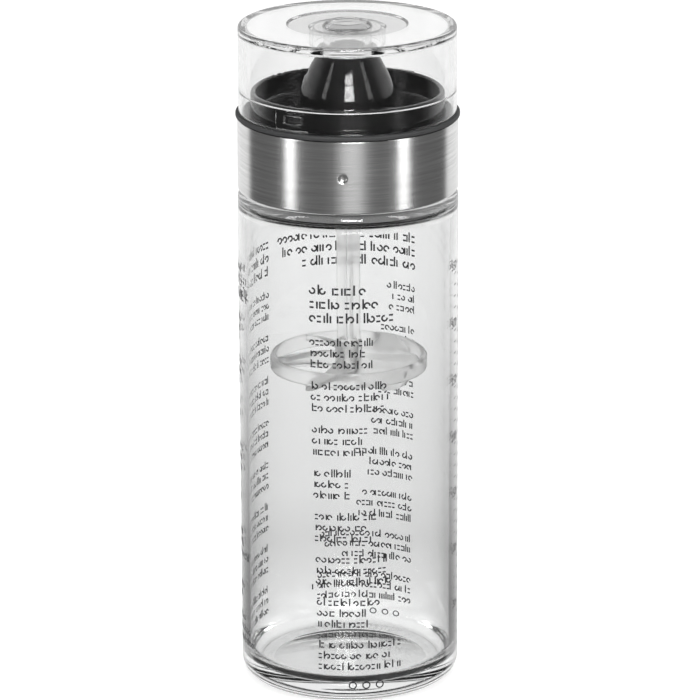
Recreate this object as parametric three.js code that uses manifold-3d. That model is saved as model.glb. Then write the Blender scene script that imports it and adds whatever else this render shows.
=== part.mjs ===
// Salad dressing shaker: a straight glass bottle with a screw lid. The lid carries a steel collar,
// a black pour spout in a drip dish, a clear cap, and a stem with a mixing disc inside the bottle.
// Millimetres, +Z up, origin at the centre of the base, front towards -Y.
import * as THREE from 'three';
import { mergeVertices } from 'three/addons/utils/BufferGeometryUtils.js';
import Module from 'manifold-3d';

const wasm = await Module();
wasm.setup();

// Glass bottle
const BOTTLE_RADIUS = 32.5;
const GLASS_WALL = 2.4;
const BASE_THICKNESS = 5;
const BASE_OUTER_FILLET = 4.5;
const BASE_INNER_FILLET = 5.9;
const PUNT_RADIUS = 23;
const PUNT_DEPTH = 0.9;
const SHOULDER_HEIGHT = 150.2;
const SHOULDER_FILLET = 2.2;
const SHOULDER_THICKNESS = 3;
const SHOULDER_INNER_FILLET = 3.4;
const NECK_WALL = 2.8;
const NECK_HEIGHT = 17.3;
const NECK_LIP_FILLET = 0.7;

// Screw thread between the neck and the lid
const THREAD_PITCH = 4;
const THREAD_DEPTH = 1.3;
const THREAD_CLEARANCE = 0.7;
const THREAD_BASE_WIDTH = 1.7;
const THREAD_CREST_WIDTH = 0.9;
const NECK_THREAD_TURNS = 1;
const NECK_THREAD_HEIGHT = 5.6;
const LID_THREAD_TURNS = 0.75;

// Fits
const FIT_GAP = 0.3;
const REST_GAP = 0.25;
const DISC_NECK_CLEARANCE = 1.3;
const PLUG_CLEARANCE = 0.4;

// Seal between the glass rim and the lid
const SEAL_THICKNESS = 2;
const SEAL_OVERHANG = 0.6;

// Steel collar
const COLLAR_INSET = 0.1;
const STEEL_WALL = 0.8;
const COLLAR_LIP_FILLET = 0.55;
const COLLAR_LIP_WIDTH = 2.1;
const DIMPLE_RADIUS = 2.2;
const DIMPLE_DEPTH = 0.4;
const DIMPLE_DROP = 10.8;
const DIMPLE_ANGLE = -2.7;

// Black lid insert: threaded skirt, drip dish and pour spout
const SKIRT_WALL = 1.9;
const FLANGE_THICKNESS = 2;
const DISH_FLOOR_RISE = 1.6;
const DISH_FLOOR_THICKNESS = 2;
const DISH_RIM_RISE = 8.3;
const DISH_WALL = 1.6;
const DISH_FILLET = 1.2;
const SEAL_LAND_MARGIN = 0.9;
const SPOUT_RISE = 19.2;
const SPOUT_BASE_RADIUS = 14.3;
const SPOUT_WALL = 1.7;
const SPOUT_LIP = 1.1;
const SPOUT_FLARE_FILLET = 5;
const SPOUT_FLARE_HEIGHT = 5.4;
const SPOUT_BULGE = 1.24;
const SOCKET_WALL = 1.7;
const SOCKET_LEDGE = 1;

// Soft ring between the collar and the cap
const RING_PROUD = 0.4;
const RING_THICKNESS = 1.4;
const RING_FILLET = 0.45;

// Clear cap
const CAP_INSET = 0.5;
const CAP_HEIGHT = 25.6;
const CAP_WALL = 2.2;
const CAP_TOP_THICKNESS = 2.5;
const CAP_TOP_FILLET = 1;
const CAP_INNER_FILLET = 0.6;
const CAP_SKIRT_WALL = 1;
const CAP_SKIRT_HEIGHT = 6.1;
const CAP_RECESS_RADIUS = 17.8;
const CAP_RECESS_DEPTH = 0.5;
const CAP_BOSS_RADIUS = 7.2;
const CAP_BOSS_SLOPE = 1.1;
const CAP_BOSS_RISE = 1.4;
const PLUG_RADIUS = 7.1;
const PLUG_WALL = 1.8;
const PLUG_ENTRY = 4;
const RIB_RADIUS = 11.2;
const RIB_WALL = 1.2;
const RIB_DEPTH = 5.4;
const PAD_DEPTH = 0.6;
const PAD_WIDTH_ANGLE = 19.5;
const PAD_HEIGHT = 5.3;
const LUG_DEPTH = 1.6;
const LUG_WIDTH_ANGLE = 10.5;
const LUG_HEIGHT = 2.2;
const LUG_LIFT = 2;
const LUG_ANGLE = -31.3;
const LUG_COUNT = 2;

// Stem
const STEM_RING_RADIUS = 14.2;
const STEM_RING_WALL = 1.6;
const STEM_RING_HEIGHT = 5.4;
const STEM_SPOKE_HEIGHT = 3.6;
const STEM_WIDTH = 6.8;
const STEM_RIB_THICKNESS = 1.7;
const STEM_TURN = 9;
const STEM_PIN_RADIUS = 2.5;

// Mixing disc
const DISC_HEIGHT = 97.6;
const DISC_BAND_HEIGHT = 4.4;
const DISC_BAND_WALL = 1.8;
const DISC_BAND_FILLET = 0.8;
const HUB_RADIUS = 4;
const HUB_HEIGHT = 11.6;
const HUB_FLOOR = 1.5;
const BLADE_COUNT = 5;
const BLADE_THICKNESS = 1.5;
const BLADE_CHORD_ANGLE = 46;
const BLADE_RISE = 6;
const BLADE_DROP = 0.9;
const BLADE_SWEEP_ANGLE = 24;
const BLADE_TIP_ROUND = 3;
const BLADE_LOW_ANGLE = -40;

// Fineness of the facets
const TURN_STEPS = 40;
const ARC_STEPS = 3;
const CURVE_STEPS = 5;
const THREAD_STEPS = 24;
const THREAD_RUNOUT = 0.12;
const EMBED = 0.5;
const MERGE_DISTANCE = 1e-4;
const DEGREE = Math.PI / 180;

// Radii worked out from the bottle inwards
const bottleBore = BOTTLE_RADIUS - GLASS_WALL;
const collarRadius = BOTTLE_RADIUS - COLLAR_INSET;
const collarBore = collarRadius - STEEL_WALL;
const collarLipBore = collarBore - COLLAR_LIP_WIDTH;
const skirtRadius = collarBore - FIT_GAP;
const skirtBore = skirtRadius - SKIRT_WALL;
const neckRadius = skirtBore - THREAD_CLEARANCE - THREAD_DEPTH;
const neckBore = neckRadius - NECK_WALL;
const discRadius = neckBore - DISC_NECK_CLEARANCE;
const capRadius = BOTTLE_RADIUS - CAP_INSET;
const capSkirtBore = capRadius - CAP_SKIRT_WALL;
const padBore = capSkirtBore - PAD_DEPTH;
const lugBore = padBore - LUG_DEPTH;
const dishRadius = lugBore - FIT_GAP;
const dishBore = dishRadius - DISH_WALL;
const spoutHole = PLUG_RADIUS + PLUG_CLEARANCE;
const spoutTopRadius = spoutHole + SPOUT_LIP;
const passageRadius = SPOUT_BASE_RADIUS - SPOUT_WALL;
const socketBore = STEM_RING_RADIUS + FIT_GAP;
const socketRadius = socketBore + SOCKET_WALL;
const sealRadius = neckRadius + SEAL_OVERHANG;
const sealBore = neckBore + SEAL_OVERHANG;

// Heights worked out from the base upwards
const neckTop = SHOULDER_HEIGHT + NECK_HEIGHT;
const sealBottom = neckTop + REST_GAP;
const sealTop = sealBottom + SEAL_THICKNESS;
const landHeight = sealTop + REST_GAP;
const lidTop = landHeight + FLANGE_THICKNESS;
const dishFloor = lidTop + DISH_FLOOR_RISE;
const dishUnderside = dishFloor - DISH_FLOOR_THICKNESS;
const dishRim = lidTop + DISH_RIM_RISE;
const spoutTop = lidTop + SPOUT_RISE;
const collarBottom = SHOULDER_HEIGHT + FIT_GAP;
const skirtBottom = collarBottom + STEEL_WALL + FIT_GAP;
const ringBottom = lidTop + REST_GAP;
const ringTop = ringBottom + RING_THICKNESS;
const capBottom = ringTop + REST_GAP;
const capTop = capBottom + CAP_HEIGHT;
const capCeiling = capTop - CAP_TOP_THICKNESS;
const capStep = capBottom + CAP_SKIRT_HEIGHT;
const neckThreadStart = SHOULDER_HEIGHT + NECK_THREAD_HEIGHT;
const lidThreadStart = neckThreadStart - THREAD_PITCH / 2;
const socketLedge = dishUnderside - SOCKET_LEDGE;
const stemRingTop = socketLedge - FIT_GAP;
const stemRingBottom = stemRingTop - STEM_RING_HEIGHT;
const hubBottom = DISC_HEIGHT - HUB_HEIGHT / 2;
const hubTop = hubBottom + HUB_HEIGHT;
const pinBottom = hubBottom + HUB_FLOOR + FIT_GAP;
const pinTop = hubTop + FIT_GAP;

// Closed outline through corners given as [radius, height, fillet]; the fillet may be left out
function outline(corners) {
  const points = [];
  corners.forEach(([r, z, fillet = 0], i) => {
    const corner = new THREE.Vector2(r, z);
    if (fillet === 0) {
      points.push(corner);
      return;
    }
    const [rBefore, zBefore] = corners[(i + corners.length - 1) % corners.length];
    const [rAfter, zAfter] = corners[(i + 1) % corners.length];
    const before = new THREE.Vector2(rBefore, zBefore).sub(corner).normalize();
    const after = new THREE.Vector2(rAfter, zAfter).sub(corner).normalize();
    const half = Math.acos(before.dot(after)) / 2;
    const middle = before.clone().add(after).normalize();
    const centre = corner.clone().addScaledVector(middle, fillet / Math.sin(half));
    const start = corner.clone().addScaledVector(before, fillet / Math.tan(half)).sub(centre);
    const end = corner.clone().addScaledVector(after, fillet / Math.tan(half)).sub(centre);
    const sweep = Math.atan2(start.cross(end), start.dot(end));
    for (let step = 0; step <= ARC_STEPS; step += 1) {
      const arm = start.clone().rotateAround(new THREE.Vector2(), sweep * step / ARC_STEPS);
      points.push(arm.add(centre));
    }
  });
  return points;
}

// Triangles with merged corners, without flat ones, facing out
function closedMesh(geometry) {
  geometry.deleteAttribute('normal');
  geometry.deleteAttribute('uv');
  const merged = mergeVertices(geometry, MERGE_DISTANCE);
  const position = merged.getAttribute('position');
  const triangles = [];
  let volume = 0;
  const corner = [new THREE.Vector3(), new THREE.Vector3(), new THREE.Vector3()];
  for (let i = 0; i < merged.index.count; i += 3) {
    const [a, b, c] = merged.index.array.slice(i, i + 3);
    if (a !== b && b !== c && c !== a) {
      [a, b, c].forEach((vertex, k) => corner[k].fromBufferAttribute(position, vertex));
      volume += corner[0].dot(corner[1].clone().cross(corner[2]));
      triangles.push([a, b, c]);
    }
  }
  const facing = volume < 0 ? triangles.map(([a, b, c]) => [a, c, b]) : triangles;
  return { vertProperties: position.array, triVerts: Uint32Array.from(facing.flat()) };
}

function solidOf(geometry) {
  return new wasm.Manifold(new wasm.Mesh({ numProp: 3, ...closedMesh(geometry) }));
}

// Body of revolution about +Z from a closed outline, or from one that starts and ends on the axis
function revolved(corners) {
  const points = outline(corners);
  const onAxis = points[0].x === 0 && points[points.length - 1].x === 0;
  const profile = onAxis ? points : [...points, points[0].clone()];
  return solidOf(new THREE.LatheGeometry(profile, TURN_STEPS).rotateX(Math.PI / 2));
}

// Moves every vertex of a geometry by a rule from its own coordinates to new ones
function reshaped(geometry, rule) {
  const position = geometry.getAttribute('position');
  for (let i = 0; i < position.count; i += 1) {
    position.setXYZ(i, ...rule(position.getX(i), position.getY(i), position.getZ(i)));
  }
  return solidOf(geometry);
}

// Helical rib that stands out of a wall by THREAD_DEPTH; side is 1 outwards and -1 inwards
function threadRib(wallRadius, side, start, turns) {
  const base = THREAD_BASE_WIDTH / 2;
  const crest = THREAD_CREST_WIDTH / 2;
  const section = new THREE.Shape();
  section.moveTo(-EMBED, -base);
  section.lineTo(0, -base);
  section.lineTo(THREAD_DEPTH, -crest);
  section.lineTo(THREAD_DEPTH, crest);
  section.lineTo(0, base);
  section.lineTo(-EMBED, base);
  const steps = Math.ceil(THREAD_STEPS * turns);
  const straight = new THREE.ExtrudeGeometry(section, { depth: 1, steps, bevelEnabled: false });
  return reshaped(straight, (out, along, t) => {
    const runout = Math.min(1, t / THREAD_RUNOUT, (1 - t) / THREAD_RUNOUT);
    const stand = out > 0 ? out * runout - EMBED * (1 - runout) / 2 : out;
    const radius = wallRadius + side * stand;
    const angle = 2 * Math.PI * turns * t;
    const height = start + THREAD_PITCH * turns * t + along;
    return [radius * Math.cos(angle), radius * Math.sin(angle), height];
  });
}

// Block between two radii, two heights, and half an angle each side of a direction from the front
function sectorBlock(inner, outer, bottom, height, direction, width) {
  const start = (direction - width / 2 - 90) * DEGREE;
  const end = (direction + width / 2 - 90) * DEGREE;
  const shape = new THREE.Shape();
  shape.absarc(0, 0, outer, start, end, false);
  shape.absarc(0, 0, inner, end, start, true);
  const settings = { depth: height, bevelEnabled: false, curveSegments: CURVE_STEPS };
  return solidOf(new THREE.ExtrudeGeometry(shape, settings).translate(0, 0, bottom));
}

function joined(first, ...others) {
  return others.reduce((whole, other) => whole.add(other), first);
}

function piece(name, solid, look) {
  const { vertProperties, triVerts } = solid.getMesh();
  const geometry = new THREE.BufferGeometry();
  geometry.setAttribute('position', new THREE.BufferAttribute(vertProperties, 3));
  geometry.setIndex(new THREE.BufferAttribute(triVerts, 1));
  geometry.computeVertexNormals();
  const mesh = new THREE.Mesh(geometry, new THREE.MeshStandardMaterial(look));
  mesh.name = name;
  return mesh;
}

// Bottle: thick base on a flat foot ring, straight wall, square shoulder, threaded neck
function glassBottle() {
  const shoulderUnderside = SHOULDER_HEIGHT - SHOULDER_THICKNESS;
  const shell = revolved([
    [0, PUNT_DEPTH],
    [PUNT_RADIUS - PUNT_DEPTH, PUNT_DEPTH, PUNT_DEPTH],
    [PUNT_RADIUS, 0],
    [BOTTLE_RADIUS, 0, BASE_OUTER_FILLET],
    [BOTTLE_RADIUS, SHOULDER_HEIGHT, SHOULDER_FILLET],
    [neckRadius, SHOULDER_HEIGHT],
    [neckRadius, neckTop, NECK_LIP_FILLET],
    [neckBore, neckTop, NECK_LIP_FILLET],
    [neckBore, shoulderUnderside, SHOULDER_THICKNESS / 2],
    [bottleBore, shoulderUnderside, SHOULDER_INNER_FILLET],
    [bottleBore, BASE_THICKNESS, BASE_INNER_FILLET],
    [0, BASE_THICKNESS],
  ]);
  return joined(shell, threadRib(neckRadius, 1, neckThreadStart, NECK_THREAD_TURNS));
}

function lidSeal() {
  return revolved([
    [sealBore, sealBottom],
    [sealRadius, sealBottom],
    [sealRadius, sealTop],
    [sealBore, sealTop],
  ]);
}

// Collar: thin steel sleeve, its lower edge turned in under the skirt, one small pressed dimple in front
function steelCollar() {
  const sleeve = revolved([
    [collarRadius, collarBottom, COLLAR_LIP_FILLET],
    [collarRadius, lidTop],
    [collarBore, lidTop],
    [collarBore, collarBottom + STEEL_WALL],
    [collarLipBore, collarBottom + STEEL_WALL],
    [collarLipBore, collarBottom],
  ]);
  const direction = (DIMPLE_ANGLE - 90) * DEGREE;
  const reach = collarRadius + DIMPLE_RADIUS - DIMPLE_DEPTH;
  const ball = new THREE.SphereGeometry(DIMPLE_RADIUS, 16, 12);
  ball.translate(reach * Math.cos(direction), reach * Math.sin(direction), lidTop - DIMPLE_DROP);
  return sleeve.subtract(solidOf(ball));
}

// Outer radius of the spout at a height between its foot, where the flare starts, and its lip
function spoutRadius(height) {
  const foot = dishFloor + SPOUT_FLARE_HEIGHT;
  const share = (height - foot) / (spoutTop - foot);
  return SPOUT_BASE_RADIUS - (SPOUT_BASE_RADIUS - spoutTopRadius) * share ** SPOUT_BULGE;
}

// Lid insert: skirt with the inner thread, floor with a seal land, dish wall and hollow spout
function pourSpout() {
  const foot = dishFloor + SPOUT_FLARE_HEIGHT;
  const sides = [];
  for (let step = 0; step < CURVE_STEPS; step += 1) {
    const height = foot + (spoutTop - foot) * step / CURVE_STEPS;
    sides.push([spoutRadius(height), height]);
  }
  const inside = sides.map(([r, z]) => [Math.max(r - SPOUT_WALL, spoutHole), z]);
  const body = revolved([
    [SPOUT_BASE_RADIUS, dishFloor, SPOUT_FLARE_FILLET],
    [dishBore, dishFloor, DISH_FILLET],
    [dishBore, dishRim, DISH_WALL / 3],
    [dishRadius, dishRim, DISH_WALL / 3],
    [dishRadius, lidTop],
    [skirtRadius, lidTop],
    [skirtRadius, skirtBottom],
    [skirtBore, skirtBottom],
    [skirtBore, landHeight],
    [neckBore - SEAL_LAND_MARGIN, landHeight],
    [neckBore - SEAL_LAND_MARGIN, dishUnderside],
    [socketRadius, dishUnderside],
    [socketRadius, stemRingBottom],
    [socketBore, stemRingBottom],
    [socketBore, socketLedge],
    [passageRadius, socketLedge],
    ...inside,
    [spoutHole, spoutTop, SPOUT_LIP / 3],
    [spoutTopRadius, spoutTop, SPOUT_LIP / 3],
    ...sides.reverse(),
  ]);
  return joined(body, threadRib(skirtBore, -1, lidThreadStart, LID_THREAD_TURNS));
}

function rimRing() {
  return revolved([
    [BOTTLE_RADIUS + RING_PROUD, ringBottom, RING_FILLET],
    [BOTTLE_RADIUS + RING_PROUD, ringTop, RING_FILLET],
    [dishRadius + FIT_GAP, ringTop],
    [dishRadius + FIT_GAP, ringBottom],
  ]);
}

// Cap: cup with a thinner skirt, a low boss in a shallow recess on top, a plug in a stiffening rib
// under it, and lugs on raised pads
function clearCap() {
  const bore = capRadius - CAP_WALL;
  const plugBottom = spoutTop - PLUG_ENTRY;
  const ribBottom = capCeiling - RIB_DEPTH;
  const recessFloor = capTop - CAP_RECESS_DEPTH;
  const cup = revolved([
    [0, recessFloor + CAP_BOSS_RISE],
    [CAP_BOSS_RADIUS - CAP_BOSS_SLOPE, recessFloor + CAP_BOSS_RISE, CAP_BOSS_RISE / 2],
    [CAP_BOSS_RADIUS, recessFloor],
    [CAP_RECESS_RADIUS - CAP_RECESS_DEPTH, recessFloor],
    [CAP_RECESS_RADIUS, capTop],
    [capRadius, capTop, CAP_TOP_FILLET],
    [capRadius, capBottom],
    [capSkirtBore, capBottom],
    [capSkirtBore, capStep],
    [bore, capStep],
    [bore, capCeiling, CAP_INNER_FILLET],
    [RIB_RADIUS, capCeiling],
    [RIB_RADIUS, ribBottom],
    [RIB_RADIUS - RIB_WALL, ribBottom],
    [RIB_RADIUS - RIB_WALL, capCeiling],
    [PLUG_RADIUS, capCeiling],
    [PLUG_RADIUS, plugBottom, PLUG_WALL / 3],
    [PLUG_RADIUS - PLUG_WALL, plugBottom, PLUG_WALL / 3],
    [PLUG_RADIUS - PLUG_WALL, capCeiling],
    [0, capCeiling],
  ]);
  const lugs = Array.from({ length: LUG_COUNT }, (_, i) => {
    const direction = LUG_ANGLE + i * 360 / LUG_COUNT;
    const wall = capSkirtBore + EMBED;
    return joined(
      sectorBlock(padBore, wall, capBottom + FIT_GAP, PAD_HEIGHT, direction, PAD_WIDTH_ANGLE),
      sectorBlock(lugBore, wall, capBottom + LUG_LIFT, LUG_HEIGHT, direction, LUG_WIDTH_ANGLE),
    );
  });
  return joined(cup, ...lugs);
}

// Stem: push-in ring, crossed spokes, crossed ribs down the bottle, and a round pin for the hub
function mixerStem() {
  const ring = revolved([
    [STEM_RING_RADIUS, stemRingBottom],
    [STEM_RING_RADIUS, stemRingTop],
    [STEM_RING_RADIUS - STEM_RING_WALL, stemRingTop],
    [STEM_RING_RADIUS - STEM_RING_WALL, stemRingBottom],
  ]);
  const spokeLength = 2 * STEM_RING_RADIUS - STEM_RING_WALL;
  const spokeMiddle = stemRingTop - STEM_SPOKE_HEIGHT / 2;
  const ribLength = spokeMiddle - pinTop;
  const ribMiddle = (spokeMiddle + pinTop) / 2;
  const ribs = [0, 90].flatMap((turn) => {
    const angle = (turn + STEM_TURN) * DEGREE;
    const spoke = new THREE.BoxGeometry(spokeLength, STEM_RIB_THICKNESS, STEM_SPOKE_HEIGHT);
    const rib = new THREE.BoxGeometry(STEM_WIDTH, STEM_RIB_THICKNESS, ribLength);
    spoke.rotateZ(angle).translate(0, 0, spokeMiddle);
    rib.rotateZ(angle).translate(0, 0, ribMiddle);
    return [solidOf(spoke), solidOf(rib)];
  });
  const pin = revolved([
    [0, pinBottom],
    [STEM_PIN_RADIUS, pinBottom, STEM_PIN_RADIUS / 4],
    [STEM_PIN_RADIUS, pinTop + EMBED],
    [0, pinTop + EMBED],
  ]);
  return joined(ring, pin, ...ribs);
}

// Mixing disc: blind hub on the pin, swept blades that rise in a wave, and a band around them
function mixingDisc() {
  const bore = STEM_PIN_RADIUS + FIT_GAP;
  const bandBore = discRadius - DISC_BAND_WALL;
  const hub = revolved([
    [0, hubBottom],
    [HUB_RADIUS, hubBottom, HUB_FLOOR / 2],
    [HUB_RADIUS, hubTop],
    [bore, hubTop],
    [bore, hubBottom + HUB_FLOOR],
    [0, hubBottom + HUB_FLOOR],
  ]);
  const band = revolved([
    [discRadius, DISC_HEIGHT - DISC_BAND_HEIGHT / 2, DISC_BAND_FILLET],
    [discRadius, DISC_HEIGHT + DISC_BAND_HEIGHT / 2, DISC_BAND_FILLET],
    [bandBore, DISC_HEIGHT + DISC_BAND_HEIGHT / 2, DISC_BAND_FILLET],
    [bandBore, DISC_HEIGHT - DISC_BAND_HEIGHT / 2, DISC_BAND_FILLET],
  ]);
  const root = (HUB_RADIUS + bore) / 2;
  const blades = Array.from({ length: BLADE_COUNT }, (_, i) => {
    const direction = BLADE_LOW_ANGLE - 90 + i * 360 / BLADE_COUNT;
    const plate = new THREE.BoxGeometry(1, 1, 1, CURVE_STEPS + 1, 1, CURVE_STEPS);
    return reshaped(plate, (chord, through, span) => {
      const tip = bandBore + DISC_BAND_WALL / 2 - BLADE_TIP_ROUND * (2 * chord) ** 4;
      const share = span + 0.5;
      const radius = root + share * (tip - root);
      const turn = (chord + 0.5) * BLADE_CHORD_ANGLE + (share - 1) * BLADE_SWEEP_ANGLE;
      const angle = (direction + turn) * DEGREE;
      const wave = Math.sin(Math.PI * chord) * BLADE_RISE / 2;
      const height = DISC_HEIGHT - BLADE_DROP + wave + through * BLADE_THICKNESS;
      return [radius * Math.cos(angle), radius * Math.sin(angle), height];
    });
  });
  return joined(hub, band, ...blades);
}

const clearGlass = { color: 0xe6ebea, roughness: 0.05, metalness: 0, transparent: true, opacity: 0.4 };
const clearPlastic = { color: 0xf0f2f2, roughness: 0.08, metalness: 0, transparent: true, opacity: 0.4 };
const milkyPlastic = { color: 0xdcdcd6, roughness: 0.35, metalness: 0 };
const blackPlastic = { color: 0x141415, roughness: 0.15, metalness: 0 };
const darkRubber = { color: 0x2e2f30, roughness: 0.75, metalness: 0 };
const paleRubber = { color: 0xd8d8d4, roughness: 0.7, metalness: 0 };
const brushedSteel = { color: 0xb9babb, roughness: 0.32, metalness: 1 };

const shaker = new THREE.Group();
shaker.name = 'salad_dressing_shaker';
shaker.add(
  piece('glass_bottle', glassBottle(), clearGlass),
  piece('lid_seal', lidSeal(), paleRubber),
  piece('steel_collar', steelCollar(), brushedSteel),
  piece('pour_spout', pourSpout(), blackPlastic),
  piece('rim_ring', rimRing(), darkRubber),
  piece('clear_cap', clearCap(), clearPlastic),
  piece('mixer_stem', mixerStem(), milkyPlastic),
  piece('mixing_disc', mixingDisc(), milkyPlastic),
);

export default shaker;
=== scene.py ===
import math
import random

import bmesh
import bpy
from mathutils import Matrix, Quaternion, Vector


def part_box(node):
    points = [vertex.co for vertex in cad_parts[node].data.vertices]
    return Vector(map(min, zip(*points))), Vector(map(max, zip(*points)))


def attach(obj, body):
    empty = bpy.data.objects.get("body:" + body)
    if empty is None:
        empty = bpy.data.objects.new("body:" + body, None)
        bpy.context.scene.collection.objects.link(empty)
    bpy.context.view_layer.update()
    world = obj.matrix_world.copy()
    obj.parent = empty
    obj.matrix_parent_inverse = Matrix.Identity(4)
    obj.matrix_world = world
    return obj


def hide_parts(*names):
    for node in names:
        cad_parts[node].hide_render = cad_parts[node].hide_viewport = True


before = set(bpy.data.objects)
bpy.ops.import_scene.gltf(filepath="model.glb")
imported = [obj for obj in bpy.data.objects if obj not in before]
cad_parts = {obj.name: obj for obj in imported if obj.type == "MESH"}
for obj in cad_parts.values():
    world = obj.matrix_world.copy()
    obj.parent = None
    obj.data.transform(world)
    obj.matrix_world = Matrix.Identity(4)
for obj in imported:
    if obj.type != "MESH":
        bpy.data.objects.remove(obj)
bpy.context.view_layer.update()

MM = 0.001
TURN_STEPS = 192
ARC_STEPS = 8
NEAR = 1e-6
SHARP_ANGLE = 35
SMALL_FILLET = 0.3 * MM
THIN_FILLET = 0.1 * MM


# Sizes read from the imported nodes
def node_sizes(node):
    """Outer radius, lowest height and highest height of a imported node."""
    low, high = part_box(node)
    return high.x, low.z, high.z


BOTTLE_RADIUS, _, NECK_TOP = node_sizes("glass_bottle")
COLLAR_RADIUS, COLLAR_BOTTOM, LID_TOP = node_sizes("steel_collar")
SKIRT_RADIUS, SKIRT_BOTTOM, SPOUT_TOP = node_sizes("pour_spout")
RING_RADIUS, RING_BOTTOM, RING_TOP = node_sizes("rim_ring")
CAP_RADIUS, CAP_BOTTOM, CAP_CROWN = node_sizes("clear_cap")
SEAL_RADIUS, SEAL_BOTTOM, SEAL_TOP = node_sizes("lid_seal")
STEM_RING_RADIUS, _, _ = node_sizes("mixer_stem")
DISC_RADIUS, HUB_BOTTOM, HUB_TOP = node_sizes("mixing_disc")

# Glass bottle
GLASS_WALL = 2.4 * MM
BASE_THICKNESS = 5 * MM
BASE_OUTER_FILLET = 4.5 * MM
BASE_INNER_FILLET = 5.9 * MM
PUNT_RADIUS = 23 * MM
PUNT_DEPTH = 0.9 * MM
PUNT_ROW = 1 * MM
SHOULDER_HEIGHT = COLLAR_BOTTOM - 0.3 * MM
SHOULDER_FILLET = 2.2 * MM
SHOULDER_THICKNESS = 3 * MM
SHOULDER_INNER_FILLET = 3.4 * MM
HAZE_DEPTH = 2.3 * MM
NECK_RADIUS = SEAL_RADIUS - 0.6 * MM
NECK_WALL = 2.8 * MM
NECK_LIP_FILLET = 0.7 * MM
BOTTLE_BORE = BOTTLE_RADIUS - GLASS_WALL
NECK_BORE = NECK_RADIUS - NECK_WALL

# Screw thread
THREAD_PITCH = 4 * MM
THREAD_DEPTH = 1.3 * MM
THREAD_BASE = 1.7 * MM
THREAD_CREST = 0.9 * MM
NECK_THREAD_START = SHOULDER_HEIGHT + 5.6 * MM
LID_THREAD_START = NECK_THREAD_START - THREAD_PITCH / 2
THREAD_RUNOUT = 0.12
THREAD_ROW = 0.2 * MM
NECK_THREAD_TURNS = 1
LID_THREAD_TURNS = 0.75

# Lid seal
SEAL_BORE = NECK_BORE + 0.6 * MM

# Lid insert
DISH_FLOOR = LID_TOP + 1.6 * MM
DISH_UNDERSIDE = DISH_FLOOR - 2 * MM
DISH_RIM = LID_TOP + 8.3 * MM
DISH_RADIUS = CAP_RADIUS - 3.5 * MM
DISH_BORE = DISH_RADIUS - 1.6 * MM
DISH_FILLET = 1.2 * MM
DISH_RIM_FILLET = 0.6 * MM
DISH_FOOT_FILLET = 0.2 * MM
SKIRT_BORE = SKIRT_RADIUS - 1.9 * MM
LAND_HEIGHT = SEAL_TOP + 0.25 * MM
LAND_BORE = NECK_BORE - 0.9 * MM
SPOUT_FOOT = DISH_FLOOR + 5.4 * MM
SPOUT_FOOT_RADIUS = 14.3 * MM
SPOUT_TOP_RADIUS = 8.6 * MM
SPOUT_HOLE = 7.5 * MM
SPOUT_WALL = 1.7 * MM
SPOUT_FLARE = 5 * MM
SPOUT_BULGE = 1.24
SPOUT_ROW = 0.8 * MM
SPOUT_LIP_FILLET = (SPOUT_TOP_RADIUS - SPOUT_HOLE) / 2.4
SOCKET_BORE = STEM_RING_RADIUS + 0.3 * MM
SOCKET_RADIUS = SOCKET_BORE + 1.7 * MM
SOCKET_LEDGE = DISH_UNDERSIDE - 1 * MM
SOCKET_BOTTOM = SOCKET_LEDGE - 5.7 * MM

# Rim ring
RING_BORE = DISH_RADIUS + 0.3 * MM
RING_FILLET = 0.45 * MM

# Clear cap
CAP_RECESS_RADIUS = 17.8 * MM
CAP_RECESS_DEPTH = 0.5 * MM
BOSS_RADIUS = 7.2 * MM
BOSS_SLOPE = 1.1 * MM
BOSS_RISE = 1.4 * MM
RECESS_FLOOR = CAP_CROWN - BOSS_RISE
CAP_TOP = RECESS_FLOOR + CAP_RECESS_DEPTH
CAP_BORE = CAP_RADIUS - 2.2 * MM
CAP_SKIRT_BORE = CAP_RADIUS - 1 * MM
CAP_STEP = CAP_BOTTOM + 6.1 * MM
CAP_CEILING = CAP_TOP - 2.5 * MM
CAP_RIM_FILLET = 1 * MM
CAP_INNER_FILLET = 0.6 * MM
PLUG_RADIUS = 7.1 * MM
PLUG_BORE = 5.3 * MM
PLUG_BOTTOM = SPOUT_TOP - 4 * MM
PLUG_FILLET = 0.6 * MM
PLUG_CEILING_FILLET = 2 * MM
RIB_RADIUS = 11.2 * MM
RIB_BORE = 10 * MM
RIB_BOTTOM = CAP_CEILING - 5.4 * MM
PAD_DEPTH = 0.6 * MM
PAD_BOTTOM = CAP_BOTTOM + 0.3 * MM
PAD_TOP = PAD_BOTTOM + 5.3 * MM
PAD_ANGLE = 19.5
LUG_DEPTH = 2.2 * MM
LUG_BOTTOM = CAP_BOTTOM + 2 * MM
LUG_TOP = LUG_BOTTOM + 2.2 * MM
LUG_ANGLE = 10.5
LUG_DIRECTION = -31.3
LUG_EDGE = 0.12 * MM
LUG_EDGE_ANGLE = 0.22

# Steel collar
STEEL_WALL = 0.8 * MM
COLLAR_LIP_WIDTH = 2.1 * MM
COLLAR_FOOT_FILLET = 0.55 * MM
COLLAR_TOP_FILLET = 0.15 * MM
DIMPLE_HEIGHT = LID_TOP - 10.8 * MM
DIMPLE_DIRECTION = -2.7
DIMPLE_RADIUS = 1.35 * MM
DIMPLE_DEPTH = 0.4 * MM
DIMPLE_STEEPNESS = 2.2
DIMPLE_ROW = 0.12 * MM

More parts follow.
